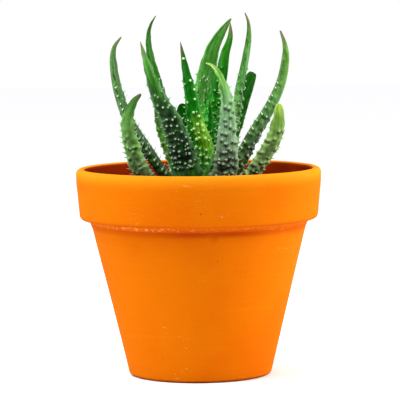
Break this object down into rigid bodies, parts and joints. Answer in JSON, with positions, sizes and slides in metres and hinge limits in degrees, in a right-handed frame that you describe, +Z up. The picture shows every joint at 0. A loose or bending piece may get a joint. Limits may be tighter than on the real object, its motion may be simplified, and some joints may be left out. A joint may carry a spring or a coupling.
{
  "type": "potted aloe",
  "caption": "Small rosette of toothed, tubercled succulent leaves standing in soil in a plain tapered terracotta flowerpot with a straight rim band.",
  "frame": {"origin": "middle of the pot's foot, on the surface the pot stands on", "axes": "+Z up along the pot's axis, -Y towards the front of the picture, +X to its right"},
  "size_m": [0.11, 0.11, 0.162],
  "materials": {
    "terracotta": "matte",
    "potting_soil": "matte",
    "stem_green": "matte",
    "leaf_green": "satin",
    "leaf_bright": "satin",
    "leaf_pale": "satin",
    "leaf_dark": "satin"
  },
  "bodies": {
    "root": {"pot": "terracotta", "soil": "potting_soil", "stem": "stem_green", "leaf_far_left": "leaf_green", "leaf_front_left_short": "leaf_pale", "leaf_back_left_thin": "leaf_green", "leaf_front_left_big": "leaf_dark", "leaf_inner_left": "leaf_green", "leaf_centre_upright": "leaf_bright", "leaf_back_broad": "leaf_dark", "leaf_back_bright": "leaf_bright", "leaf_front_right_pale": "leaf_pale", "leaf_right_tall": "leaf_green", "leaf_back_right_blunt": "leaf_dark", "leaf_far_right": "leaf_green", "leaf_right_low": "leaf_pale", "leaf_behind_short": "leaf_dark", "leaf_young_front": "leaf_green", "leaf_young_left": "leaf_dark", "leaf_young_right": "leaf_green", "leaf_back_middle": "leaf_green", "leaf_back_left_low": "leaf_pale", "leaf_back_right_low": "leaf_green"}
  },
  "joints": []
}
